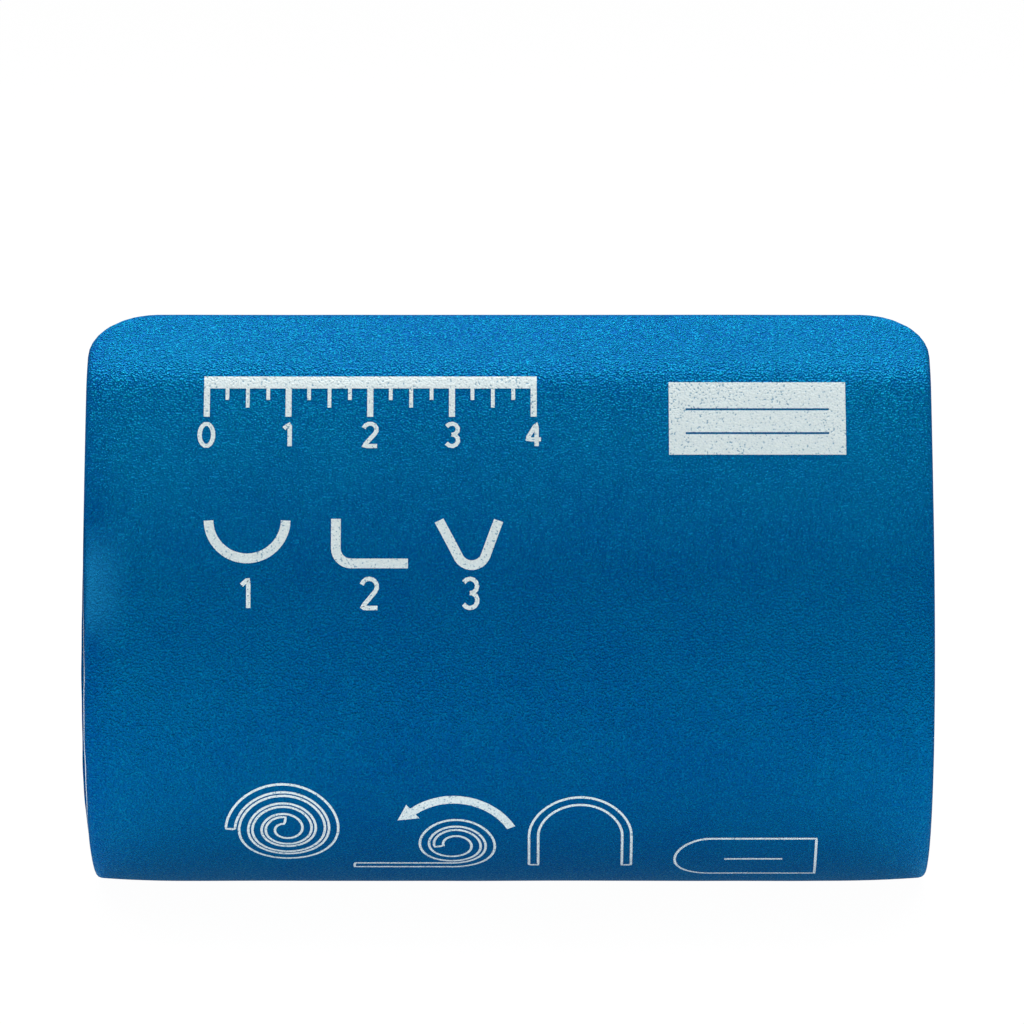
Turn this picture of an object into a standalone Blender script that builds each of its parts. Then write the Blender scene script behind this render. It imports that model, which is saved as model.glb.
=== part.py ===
"""Padded splint, rolled: one strip of foam, soft aluminium and foam, wound into a roll
that rests on a slightly flattened base, with its free outer end standing up in front.

Metres, +Z up. X runs across the strip, along the axis of the roll. The free end is at the
front, towards -Y. The origin is the middle of the flat on which the roll rests.
"""

import math
from bisect import bisect_right
from collections import namedtuple

import bmesh
import bpy
from mathutils import Vector

MM = 0.001

# The strip, laid flat
STRIP_WIDTH = 101.6 * MM
STRIP_LENGTH = 609.6 * MM
CORNER_RADIUS = 8.3 * MM
PAD_THICKNESS = 1.25 * MM
PAD_EDGE_RADIUS = 0.9 * MM
CORE_THICKNESS = 0.4 * MM
BOND_GAP = 0.1 * MM

# The roll
HOLLOW_RADIUS = 7.3 * MM
TURN_GAP = 0.2 * MM
REST_FLAT_WIDTH = 12.0 * MM
RELEASE_ANGLE = math.radians(-7)

# The free end, from where it leaves the roll to its tip
FREE_END_LENGTH = 56.4 * MM
Bend = namedtuple("Bend", "length_share sweep_degrees")
FREE_END_BENDS = (
    Bend(length_share=0.145, sweep_degrees=15.5),
    Bend(length_share=0.262, sweep_degrees=19),
    Bend(length_share=0.336, sweep_degrees=8),
    Bend(length_share=0.062, sweep_degrees=27),
    Bend(length_share=0.195, sweep_degrees=2),
)

# How finely curves are divided
ROLL_STEPS_PER_TURN = 36
BEND_STEP = math.radians(5)
CORNER_STEPS = 5
EDGE_STEPS = 2
LEAST_CUT = 0.05 * MM

# Materials: colour, roughness, metallic
FOAM_COLOUR = (0.003, 0.095, 0.28, 1.0)
FOAM_ROUGHNESS = 0.5
CORE_COLOUR = (0.80, 0.81, 0.82, 1.0)
CORE_ROUGHNESS = 0.35

# Worked out from the sizes above
STRIP_THICKNESS = 2 * PAD_THICKNESS + 2 * BOND_GAP + CORE_THICKNESS
PITCH = STRIP_THICKNESS + TURN_GAP
RISE = PITCH / math.tau
INNER_RADIUS = HOLLOW_RADIUS + STRIP_THICKNESS / 2
WOUND_LENGTH = STRIP_LENGTH - FREE_END_LENGTH
OUTER_RADIUS = math.sqrt(INNER_RADIUS**2 + 2 * RISE * WOUND_LENGTH)
BOTTOM_ANGLE = -math.pi / 2
REST_RADIUS = OUTER_RADIUS - RISE * (RELEASE_ANGLE - BOTTOM_ANGLE)
REST_HALF_ANGLE = math.asin(REST_FLAT_WIDTH / 2 / REST_RADIUS)


def clear_scene():
    for old in list(bpy.data.objects):
        bpy.data.objects.remove(old, do_unlink=True)


def material(name, colour, roughness, metallic):
    made = bpy.data.materials.new(name)
    made.use_nodes = True
    shader = made.node_tree.nodes["Principled BSDF"]
    shader.inputs["Base Color"].default_value = colour
    shader.inputs["Roughness"].default_value = roughness
    shader.inputs["Metallic"].default_value = metallic
    return made


def spiral_radius(angle):
    """Radius of the middle of the strip. Angles fall going inwards from the release angle;
    0 faces the front, and a quarter turn less is the bottom."""
    return OUTER_RADIUS - RISE * (RELEASE_ANGLE - angle)


def rest_drop():
    """How far the middle of the flattened outer turn lies under the axis of the roll."""
    return spiral_radius(BOTTOM_ANGLE - REST_HALF_ANGLE) * math.cos(REST_HALF_ANGLE)


def flattening(angle):
    """How much the base presses each turn in, so that the turns stay evenly spaced."""
    turned = (angle - BOTTOM_ANGLE + math.pi) % math.tau - math.pi
    if abs(turned) > REST_HALF_ANGLE + 1e-9:
        return 0.0
    return max(0.0, spiral_radius(BOTTOM_ANGLE + turned) - rest_drop() / math.cos(turned))


def roll_point(distance):
    """A point on the middle of the wound strip, at a distance from its tip."""
    wound = distance - FREE_END_LENGTH
    radius = math.sqrt(max(OUTER_RADIUS**2 - 2 * RISE * wound, 0.0))
    angle = RELEASE_ANGLE - (OUTER_RADIUS - radius) / RISE
    radius -= flattening(angle)
    return Vector((-radius * math.cos(angle), radius * math.sin(angle)))


def free_end_point(distance):
    """A point on the middle of the free end, at a distance from its tip: along one arc
    after another, from where the strip leaves the roll."""
    point, angle = roll_point(FREE_END_LENGTH), RELEASE_ANGLE
    left = FREE_END_LENGTH - distance
    for bend in FREE_END_BENDS:
        length = bend.length_share * FREE_END_LENGTH
        radius = length / math.radians(bend.sweep_degrees)
        turned = angle + min(left, length) / radius
        point = point + radius * Vector((math.cos(angle) - math.cos(turned),
                                         math.sin(turned) - math.sin(angle)))
        angle = turned
        left = max(left - length, 0.0)
    return point


def strip_point(distance):
    return free_end_point(distance) if distance < FREE_END_LENGTH else roll_point(distance)


def free_end_creases():
    """Distances from the tip at which the free end is creased: even steps of each bend."""
    creases = []
    reached = FREE_END_LENGTH
    for bend in FREE_END_BENDS:
        length = bend.length_share * FREE_END_LENGTH
        steps = math.ceil(math.radians(bend.sweep_degrees) / BEND_STEP)
        creases += [reached - length * i / steps for i in range(steps)]
        reached -= length
    return creases


def roll_creases():
    """Distances from the tip at which the roll is creased: at the middle and the ends of
    the flat at the base of each turn, and in even steps round the rest."""
    steps = ROLL_STEPS_PER_TURN - 2
    open_angle = math.tau - 2 * REST_HALF_ANGLE
    turn = [0.0] + [REST_HALF_ANGLE + open_angle * i / steps for i in range(steps + 1)]
    creases = []
    for count in range(math.ceil((OUTER_RADIUS - INNER_RADIUS) / PITCH) + 2):
        for step in turn:
            angle = BOTTOM_ANGLE + step - math.tau * count
            radius = spiral_radius(angle)
            if angle < RELEASE_ANGLE and radius > INNER_RADIUS:
                creases.append(FREE_END_LENGTH + (OUTER_RADIUS**2 - radius**2) / (2 * RISE))
    return creases


def crease_distances():
    return sorted([0.0, STRIP_LENGTH] + free_end_creases() + roll_creases())


def crease_directions(points):
    """The outward direction at each crease. It is lengthened so that faces offset along it
    stay parallel, and every layer keeps its thickness through the bend."""
    runs = [(after - before).normalized() for before, after in zip(points, points[1:])]
    normals = [Vector((run.y, -run.x)) for run in runs]
    pairs = zip(normals[:1] + normals, normals + normals[-1:])
    return [(before + after) / (1 + before.dot(after)) for before, after in pairs]


def flat_layer(bonded, bare, rounding):
    """One layer of the strip laid flat, X across it and Y along it from the tip. Bonded and
    bare are the heights of its two faces over the middle of the strip. The bare one may
    have a rounded rim."""
    plate = bmesh.new()
    bmesh.ops.create_grid(plate, x_segments=1, y_segments=1, size=0.5)
    bmesh.ops.scale(plate, vec=(STRIP_WIDTH, STRIP_LENGTH, 1), verts=plate.verts)
    bmesh.ops.translate(plate, vec=(0, STRIP_LENGTH / 2, bonded), verts=plate.verts)
    bmesh.ops.bevel(plate, geom=plate.verts[:], offset=CORNER_RADIUS, segments=CORNER_STEPS,
                    profile=0.5, affect="VERTICES")
    grown = bmesh.ops.extrude_face_region(plate, geom=plate.faces[:], use_keep_orig=True)
    raised = {item for item in grown["geom"] if isinstance(item, bmesh.types.BMVert)}
    bmesh.ops.translate(plate, vec=(0, 0, bare - bonded), verts=list(raised))
    if rounding:
        rim = [edge for edge in plate.edges if raised.issuperset(edge.verts)]
        bmesh.ops.bevel(plate, geom=rim, offset=rounding, segments=EDGE_STEPS,
                        profile=0.5, affect="EDGES")
    bmesh.ops.recalc_face_normals(plate, faces=plate.faces)
    return plate


def wind(layer):
    """Creases a flat layer and bends it along the path of the strip, over the rest. The
    layer turns end over end on its way, so X changes sign to keep its faces outwards."""
    creases = crease_distances()
    points = [strip_point(distance) for distance in creases]
    outward = crease_directions(points)
    axis = Vector((0.0, rest_drop() + STRIP_THICKNESS / 2))
    for distance in creases[1:-1]:
        everything = layer.verts[:] + layer.edges[:] + layer.faces[:]
        bmesh.ops.bisect_plane(layer, geom=everything, dist=LEAST_CUT,
                               plane_co=(0, distance, 0), plane_no=(0, 1, 0))
    for corner in layer.verts:
        across, along, off = corner.co
        i = min(max(bisect_right(creases, along) - 1, 0), len(creases) - 2)
        share = (along - creases[i]) / (creases[i + 1] - creases[i])
        before = points[i] + outward[i] * off
        after = points[i + 1] + outward[i + 1] * off
        place = axis + before.lerp(after, share)
        corner.co = (-across, place.x, place.y)


def strip_layer(name, bonded, bare, rounding, look, collection):
    layer = flat_layer(bonded, bare, rounding)
    wind(layer)
    mesh = bpy.data.meshes.new(name)
    layer.to_mesh(mesh)
    layer.free()
    mesh.shade_smooth()
    mesh.set_sharp_from_angle(angle=math.radians(35))
    mesh.materials.append(look)
    collection.objects.link(bpy.data.objects.new(name, mesh))


def build():
    clear_scene()
    collection = bpy.data.collections.new("padded_splint")
    bpy.context.scene.collection.children.link(collection)
    core_face = CORE_THICKNESS / 2
    pad_bonded = core_face + BOND_GAP
    pad_bare = pad_bonded + PAD_THICKNESS
    pad_rounding = min(PAD_EDGE_RADIUS, 0.9 * PAD_THICKNESS)
    strip_layer("core_sheet", -core_face, core_face, 0.0,
                material("soft_aluminium", CORE_COLOUR, CORE_ROUGHNESS, 1.0), collection)
    strip_layer("outer_pad", pad_bonded, pad_bare, pad_rounding,
                material("blue_foam_outer", FOAM_COLOUR, FOAM_ROUGHNESS, 0.0), collection)
    strip_layer("inner_pad", -pad_bonded, -pad_bare, pad_rounding,
                material("blue_foam_inner", FOAM_COLOUR, FOAM_ROUGHNESS, 0.0), collection)


build()
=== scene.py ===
"""Padded splint, rolled: the foam pads, the soft aluminium core, the white print and the
studio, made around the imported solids.

The strip is modelled laid flat and is then wound along the path that its middle follows.
Laid flat, X runs across it and -Y along it from its outer tip, and Z is off its middle
towards the outside of the roll.
"""

import math
from collections import namedtuple

import bmesh
import bpy
import numpy as np
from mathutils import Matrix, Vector


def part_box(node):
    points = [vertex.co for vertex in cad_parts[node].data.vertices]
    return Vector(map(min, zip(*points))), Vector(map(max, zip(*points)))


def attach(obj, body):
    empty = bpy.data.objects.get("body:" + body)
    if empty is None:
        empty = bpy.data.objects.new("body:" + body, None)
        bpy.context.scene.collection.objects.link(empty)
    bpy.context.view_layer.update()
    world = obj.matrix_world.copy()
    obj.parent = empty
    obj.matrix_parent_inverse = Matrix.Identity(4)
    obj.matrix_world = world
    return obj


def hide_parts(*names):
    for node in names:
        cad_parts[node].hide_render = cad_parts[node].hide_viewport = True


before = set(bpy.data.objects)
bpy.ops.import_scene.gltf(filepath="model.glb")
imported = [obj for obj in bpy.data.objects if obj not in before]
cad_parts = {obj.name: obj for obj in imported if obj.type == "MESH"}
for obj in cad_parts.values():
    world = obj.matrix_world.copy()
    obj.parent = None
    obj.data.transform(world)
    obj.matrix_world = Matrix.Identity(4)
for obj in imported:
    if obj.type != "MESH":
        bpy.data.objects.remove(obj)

bl_info = {
    "name": "Padded splint",
    "version": (1, 0, 0),
    "blender": (4, 5, 0),
    "location": "3D View > Sidebar > Splint",
    "description": "Makes a rolled padded splint, its print and a plain studio",
    "category": "Object",
}

MM = 0.001
PLACE_ATTRIBUTE = "strip_place"
RIM_ATTRIBUTE = "cut_rim"
OUTER_LOW, OUTER_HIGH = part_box("outer_pad")

# The free end's bends, from where it leaves the roll to its tip
Bend = namedtuple("Bend", "length_share sweep_degrees")
FREE_END_BENDS = (
    Bend(length_share=0.145, sweep_degrees=15.5),
    Bend(length_share=0.262, sweep_degrees=19),
    Bend(length_share=0.336, sweep_degrees=8),
    Bend(length_share=0.062, sweep_degrees=27),
    Bend(length_share=0.195, sweep_degrees=2),
)

# How finely the flat strip is divided
PATH_STEP = 0.25 * MM
ROW_STEP = 1.2 * MM
EDGE_STEPS = (0.0, 0.05 * MM, 0.2 * MM, 0.45 * MM, 0.9 * MM, 1.6 * MM, 2.8 * MM, 4.4 * MM)
OUTER_COLUMN_STEP = 2.0 * MM
INNER_COLUMN_STEP = 6.0 * MM
SHARP_ANGLE = math.radians(38)

# How close the visible layers lie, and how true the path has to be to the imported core
ROOM_BETWEEN_TURNS = 0.08 * MM
ROOM_AT_BOND = 0.01 * MM
INNER_OVERHANG = 0.12 * MM
PATH_TOLERANCE = 0.4 * MM

# How finely the print is divided
AREA_STEP = 0.8 * MM
LINE_STEP = 0.4 * MM

# Where along the strip its left rim swells, where its core shows, and where all of its
# layers are cut back, and how far in from the rim that reaches
Window = namedtuple("Window", "first last fade")
SWELL = Window(27 * MM, 48 * MM, 9 * MM)
CORE_SHOWS = Window(35 * MM, 75 * MM, 10 * MM)
ALL_CUT_BACK = Window(60 * MM, 190 * MM, 26 * MM)
SWELL_REACH = 7 * MM
CUT_REACH = 6 * MM

# Where the skin's painted light and shade, its painted sheen and its cut rim change, from
# the tip and from the middle line of the strip
GRAIN_SHADE_STRONG_TO_WEAK = (6 * MM, 27 * MM)
LIT_TIP_TO_PLAIN = (9 * MM, 38 * MM)
LIT_SIDES = (12 * MM, 46 * MM)
LEFT_EDGE = -51 * MM
SHADED_RIM_WIDTH = 5 * MM
SHEEN_PATCH_MIDDLE = 39 * MM
SHEEN_PATCH_LENGTH = 9 * MM
SHEEN_PATCH_WIDTH = 7 * MM
SIDE_CUT_WIDTH = 0.7 * MM
END_CUT_AND_SHADE_WIDTH = 1.5 * MM


def length(name, description, default):
    """A property that holds a length in metres."""
    return bpy.props.FloatProperty(name=name, description=description, default=default,
                                   min=0.0, precision=6, unit="LENGTH", subtype="DISTANCE")


def share(name, description, default, top=1.0):
    """A property that holds a plain share or factor."""
    return bpy.props.FloatProperty(name=name, description=description, default=default,
                                   min=0.0, max=top, precision=4)


def colour(name, description, default):
    """A property that holds a linear colour."""
    return bpy.props.FloatVectorProperty(name=name, description=description, size=3,
                                         default=default, min=0.0, max=1.0,
                                         subtype="COLOR")


class SplintSizes(bpy.types.PropertyGroup):
    """The strip and how it is rolled up."""

    strip_width: length("Strip width", "Width of the strip, from the packed solid",
                        OUTER_HIGH.x - OUTER_LOW.x)
    strip_length: length("Strip length", "Length of the strip laid flat", 609.6 * MM)
    corner_radius: length("Corner radius", "Radius of its four corners", 8.3 * MM)
    foam_thickness: length("Foam thickness", "Each pad, pressed in the roll", 1.25 * MM)
    core_thickness: length("Core thickness", "The aluminium sheet", 0.4 * MM)
    bond_gap: length("Bond gap", "Room between a solid pad and the core", 0.1 * MM)
    turn_gap: length("Turn gap", "Room between two solid turns", 0.2 * MM)
    hollow_radius: length("Hollow radius", "Open middle of the roll", 7.3 * MM)
    rest_flat_width: length("Base flat", "Width of the flat that it rests on", 12 * MM)
    free_end_length: length("Free end", "Length of the free outer end", 56.4 * MM)
    release_angle: bpy.props.FloatProperty(
        name="Release angle", default=math.radians(-7), unit="ROTATION", subtype="ANGLE",
        description="Where the free end leaves the roll; 0 faces the front")


class FoamFinish(bpy.types.PropertyGroup):
    """The blue foam: its form in detail, its grain and its colour."""

    rim_radius: length("Rim radius", "Rounding of the bare face's rim", 0.9 * MM)
    edge_pinch: length("Edge pinch", "How much thinner the foam is at its rim", 0.45 * MM)
    pinch_width: length("Pinch width", "How far in from the rim it is thinner", 11 * MM)
    edge_swell: length("Edge swell", "How far the foam falls off at the left rim's swell",
                       0.8 * MM)
    ripple_height: length("Ripple height", "Slow waves of the outer face", 0.12 * MM)
    ripple_size: length("Ripple size", "Distance between slow waves", 16 * MM)
    drift: length("Drift", "How far the inner turns stand out on the left", 0.35 * MM)
    outer_cut: length("Outer cut", "How far the outer pad is cut back on the left",
                      0.21 * MM)
    core_cut: length("Core cut", "How far the core is cut back there", 0.14 * MM)
    lower_cut: length("Lower cut", "How far all layers are cut back lower down", 0.45 * MM)
    grain_size: length("Grain size", "One pebble of the skin", 0.28 * MM)
    grain_depth: length("Grain depth", "Height of the pebbles", 0.28 * MM)
    roughness: share("Roughness", "Of the skin between its pebbles", 0.36)
    gloss: share("Gloss", "Refraction index over 1, which sets the reflection", 0.07)
    gloss_tint: colour("Gloss tint", "Colour of the skin's reflection", (0.0, 0.9, 0.9))
    sheen_metal: share("Blue reflection", "Share of the skin that reflects in blue", 0.3)
    skin_colour: colour("Skin colour", "The foam's skin", (0.0006, 0.235, 0.425))
    # Painted shade between the pebbles
    pebble_shade_colour: colour("Deep colour", "Between the pebbles", (0.0, 0.070, 0.290))
    # A painted sheen by the left rim
    painted_sheen_colour: colour("Painted sheen colour", "A painted sheen by the left rim",
                          (0.015, 0.31, 0.64))
    # The cut rim's own colour, darkened further as painted shade
    cut_and_shade_colour: colour("Cut colour", "The foam's cut rim", (0.0, 0.060, 0.215))


class PrintFinish(bpy.types.PropertyGroup):
    """The white ink on the outer face of the foam."""

    line_width: length("Line width", "The thin drawn lines", 0.3 * MM)
    bold_width: length("Bold width", "The thick drawn lines", 1.15 * MM)
    number_width: length("Number width", "The lines of the numbers", 0.52 * MM)
    lift: length("Lift", "How far the ink stands over the foam", 0.025 * MM)
    depth: length("Depth", "How far the ink reaches into the foam", 0.08 * MM)
    ink_colour: colour("Ink colour", "Solid ink", (0.90, 1.0, 1.0))


class StageSettings(bpy.types.PropertyGroup):
    """The camera, the floor and the light."""

    camera_distance: length("Camera distance", "From the nearest surface", 1.0)
    elevation: bpy.props.FloatProperty(
        name="Elevation", default=math.radians(10), unit="ROTATION", subtype="ANGLE",
        description="How steeply the camera looks down")
    lens: bpy.props.FloatProperty(
        name="Lens", default=295.5, unit="CAMERA",
        description="Focal length in mm on a 36 mm sensor")
    axis_height: length("Axis height", "Of the view's middle, over the nearest surface",
                        16.8 * MM)
    axis_right: length("Axis right", "Of the view's middle, from the object's", 0.4 * MM)
    floor_colour: colour("Floor colour", "The plain floor", (0.86, 0.87, 0.88))
    glow: share("Glow", "Light that comes out of the floor, as on a light table", 0.38)
    whiten: share("Whiten", "How far the floor fades into the surround", 0.97)
    light: share("Light", "Strength of all the lamps", 1.0, top=10.0)
    surround: share("Surround", "Light from all around", 0.3, top=10.0)


# The roll's shape

Roll = namedtuple("Roll", "rise outer_radius rest_half_angle rest_drop axis_height")
BOTTOM_ANGLE = -math.pi / 2


def strip_thickness(sizes):
    return 2 * sizes.foam_thickness + 2 * sizes.bond_gap + sizes.core_thickness


def roll_shape(sizes):
    """Sizes of the roll that follow from those of the strip."""
    thickness = strip_thickness(sizes)
    rise = (thickness + sizes.turn_gap) / math.tau
    inner_radius = sizes.hollow_radius + thickness / 2
    wound_length = sizes.strip_length - sizes.free_end_length
    outer_radius = math.sqrt(inner_radius**2 + 2 * rise * wound_length)
    rest_radius = outer_radius - rise * (sizes.release_angle - BOTTOM_ANGLE)
    half_angle = math.asin(sizes.rest_flat_width / 2 / rest_radius)
    rest_drop = (rest_radius - rise * half_angle) * math.cos(half_angle)
    return Roll(rise, outer_radius, half_angle, rest_drop, rest_drop + thickness / 2)


def flattening(sizes, roll, angle):
    """How much the base presses each turn in. It starts and ends gently."""
    turned = (angle - BOTTOM_ANGLE + math.pi) % math.tau - math.pi
    if abs(turned) > 2 * roll.rest_half_angle:
        return 0.0
    soft = 0.04 * MM
    radius = roll.outer_radius - roll.rise * (sizes.release_angle - BOTTOM_ANGLE - turned)
    pressed = radius - roll.rest_drop / math.cos(turned)
    return soft * math.log1p(math.exp(pressed / soft))


def roll_point(sizes, roll, distance):
    """A point on the middle of the wound strip in the side view, Y and Z from the axis."""
    wound = distance - sizes.free_end_length
    radius = math.sqrt(max(roll.outer_radius**2 - 2 * roll.rise * wound, 0.0))
    angle = sizes.release_angle - (roll.outer_radius - radius) / roll.rise
    radius -= flattening(sizes, roll, angle)
    return Vector((-radius * math.cos(angle), radius * math.sin(angle)))


def free_end_point(sizes, roll, distance):
    """A point on the middle of the free end, along one arc after another."""
    angle = sizes.release_angle
    point = roll_point(sizes, roll, sizes.free_end_length)
    left = sizes.free_end_length - distance
    for bend in FREE_END_BENDS:
        arc = bend.length_share * sizes.free_end_length
        radius = arc / math.radians(bend.sweep_degrees)
        turned = angle + min(left, arc) / radius
        point = point + radius * Vector((math.cos(angle) - math.cos(turned),
                                         math.sin(turned) - math.sin(angle)))
        angle = turned
        left = max(left - arc, 0.0)
    return point


def path_points(sizes):
    """The middle of the strip from its tip to its inner end, as Y and Z over the base."""
    roll = roll_shape(sizes)
    count = math.ceil(sizes.strip_length / PATH_STEP)
    points = []
    for i in range(count + 1):
        distance = sizes.strip_length * i / count
        place = free_end_point if distance < sizes.free_end_length else roll_point
        points.append(place(sizes, roll, distance) + Vector((0.0, roll.axis_height)))
    return points


def path_curve(sizes):
    """The path as a curve object, which only guides the winding."""
    points = path_points(sizes)
    data = bpy.data.curves.new("strip_path", "CURVE")
    data.dimensions = "3D"
    spline = data.splines.new("POLY")
    spline.points.add(len(points) - 1)
    for point, (y, z) in zip(spline.points, points):
        point.co = (0.0, y, z, 1.0)
    guide = bpy.data.objects.new("strip_path", data)
    bpy.context.scene.collection.objects.link(guide)
    return guide


# Nodes

def add_node(tree, kind, inputs=(), **settings):
    """Adds a node. Inputs maps a socket's name or number to a value, or to the output
    socket that feeds it, and settings are the node's own properties."""
    node = tree.nodes.new(kind)
    for name, value in settings.items():
        setattr(node, name, value)
    for key, value in dict(inputs).items():
        if isinstance(value, bpy.types.NodeSocket):
            tree.links.new(value, node.inputs[key])
        else:
            node.inputs[key].default_value = value
    return node


def calculate(tree, operation, *values, clamp=False):
    """The output of a Math node."""
    return add_node(tree, "ShaderNodeMath", enumerate(values), operation=operation,
                    use_clamp=clamp).outputs[0]


def vector_math(tree, operation, *values, scale=None):
    """The output of a Vector Math node."""
    inputs = dict(enumerate(values))
    if scale is not None:
        inputs["Scale"] = scale
    return add_node(tree, "ShaderNodeVectorMath", inputs, operation=operation).outputs[0]


def ramp(tree, value, low, high, to_low=0.0, to_high=1.0, smooth=True):
    """The output of a Map Range node."""
    inputs = {"Value": value, "From Min": low, "From Max": high,
              "To Min": to_low, "To Max": to_high}
    kind = "SMOOTHSTEP" if smooth else "LINEAR"
    return add_node(tree, "ShaderNodeMapRange", inputs,
                    interpolation_type=kind).outputs["Result"]


def new_group(name, kind, inputs, outputs):
    """A node group with its named sockets: it, its input node and its output node."""
    tree = bpy.data.node_groups.new(name, kind)
    for direction, sockets in (("INPUT", inputs), ("OUTPUT", outputs)):
        for socket_name, socket_kind, default in sockets:
            socket = tree.interface.new_socket(socket_name, in_out=direction,
                                               socket_type="NodeSocket" + socket_kind)
            if default is not None:
                socket.default_value = default
    return tree, tree.nodes.new("NodeGroupInput"), tree.nodes.new("NodeGroupOutput")


def end_in_mesh(tree, geometry, given, result):
    """Ends a tree of Geometry Nodes in real geometry with its material."""
    real = add_node(tree, "GeometryNodeRealizeInstances", {0: geometry})
    dressed = add_node(tree, "GeometryNodeSetMaterial",
                       {"Geometry": real.outputs[0],
                        "Material": given.outputs["Material"]})
    tree.links.new(dressed.outputs[0], result.inputs[0])


def wind_group():
    """Geometry Nodes that wind a flat piece along the path. They keep where each point was
    on the flat strip, for the materials, and give the outer face its slow waves."""
    tree, given, result = new_group(
        "wind_along_path", "GeometryNodeTree",
        [("Geometry", "Geometry", None), ("Path", "Object", None),
         ("Strip Length", "Float", 0.6096), ("Ripple Height", "Float", 0.0),
         ("Ripple Size", "Float", 0.016), ("Ripple From", "Float", 0.0008),
         ("Ripple End", "Float", 0.2), ("Drift", "Float", 0.0),
         ("Material", "Material", None)],
        [("Geometry", "Geometry", None)])
    flat = add_node(tree, "GeometryNodeInputPosition").outputs[0]
    kept = add_node(tree, "GeometryNodeStoreNamedAttribute",
                    {"Geometry": given.outputs["Geometry"], "Name": PLACE_ATTRIBUTE,
                     "Value": flat}, data_type="FLOAT_VECTOR", domain="POINT")
    across, along, off = add_node(tree, "ShaderNodeSeparateXYZ", {0: flat}).outputs
    distance = calculate(tree, "MULTIPLY", along, -1.0)

    spread = calculate(tree, "DIVIDE", 1.0, given.outputs["Ripple Size"])
    on_face = add_node(tree, "ShaderNodeCombineXYZ", {0: across, 1: along})
    waves = add_node(tree, "ShaderNodeTexNoise",
                     {"Vector": on_face.outputs[0], "Scale": spread, "Detail": 1.0})
    wave = calculate(tree, "SUBTRACT", waves.outputs[0], 0.5)
    wave = calculate(tree, "MULTIPLY", wave, given.outputs["Ripple Height"])
    fade_end = calculate(tree, "MULTIPLY", given.outputs["Ripple End"], 0.9)
    outermost = ramp(tree, distance, fade_end, given.outputs["Ripple End"], 1.0, 0.0)
    skin_top = calculate(tree, "MULTIPLY", given.outputs["Ripple From"], 1.5)
    outside = ramp(tree, off, given.outputs["Ripple From"], skin_top)
    wave = calculate(tree, "MULTIPLY", wave, calculate(tree, "MULTIPLY", outermost, outside))
    off = calculate(tree, "ADD", off, wave)

    inner_turns = ramp(tree, distance, given.outputs["Ripple End"],
                       calculate(tree, "MULTIPLY", given.outputs["Ripple End"], 1.3))
    drift = calculate(tree, "MULTIPLY", inner_turns, given.outputs["Drift"])
    across = calculate(tree, "SUBTRACT", across, drift)

    guide = add_node(tree, "GeometryNodeObjectInfo", {"Object": given.outputs["Path"]},
                     transform_space="ORIGINAL")
    reached = calculate(tree, "DIVIDE", distance, given.outputs["Strip Length"])
    sample = add_node(tree, "GeometryNodeSampleCurve",
                      {"Curves": guide.outputs["Geometry"], "Factor": reached},
                      mode="FACTOR", use_all_curves=True)
    outward = vector_math(tree, "CROSS_PRODUCT", sample.outputs["Tangent"], (1.0, 0.0, 0.0))
    outward = vector_math(tree, "NORMALIZE", outward)
    raised = vector_math(tree, "SCALE", outward, scale=off)
    place = vector_math(tree, "ADD", sample.outputs["Position"], raised)
    sideways = add_node(tree, "ShaderNodeCombineXYZ", {0: across}).outputs[0]
    place = vector_math(tree, "ADD", place, sideways)
    wound = add_node(tree, "GeometryNodeSetPosition",
                     {"Geometry": kept.outputs[0], "Position": place})
    end_in_mesh(tree, wound.outputs[0], given, result)
    return tree


def stroke_group():
    """Geometry Nodes that give drawn lines their width and a little thickness."""
    tree, given, result = new_group(
        "ink_lines", "GeometryNodeTree",
        [("Geometry", "Geometry", None), ("Width", "Float", 0.0003),
         ("Thickness", "Float", 0.0001), ("Step", "Float", 0.0005),
         ("Material", "Material", None)],
        [("Geometry", "Geometry", None)])
    even = add_node(tree, "GeometryNodeResampleCurve",
                    {"Curve": given.outputs["Geometry"], "Length": given.outputs["Step"]},
                    mode="LENGTH", keep_last_segment=True)
    level = add_node(tree, "GeometryNodeSetCurveNormal", {0: even.outputs[0]}, mode="Z_UP")
    profile = add_node(tree, "GeometryNodeCurvePrimitiveQuadrilateral",
                       {"Width": given.outputs["Width"],
                        "Height": given.outputs["Thickness"]}, mode="RECTANGLE")
    lines = add_node(tree, "GeometryNodeCurveToMesh",
                     {"Curve": level.outputs[0], "Profile Curve": profile.outputs[0],
                      "Fill Caps": True})
    end_in_mesh(tree, lines.outputs[0], given, result)
    return tree


def apply_nodes(item, tree, values):
    """Runs a tree on an object and keeps the result as a plain mesh."""
    modifier = item.modifiers.new(tree.name, "NODES")
    modifier.node_group = tree
    for socket in tree.interface.items_tree:
        if socket.item_type == "SOCKET" and socket.name in values:
            modifier[socket.identifier] = values[socket.name]
    bpy.context.view_layer.update()
    evaluated = item.evaluated_get(bpy.context.evaluated_depsgraph_get())
    return bpy.data.meshes.new_from_object(evaluated)


# Materials

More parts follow.
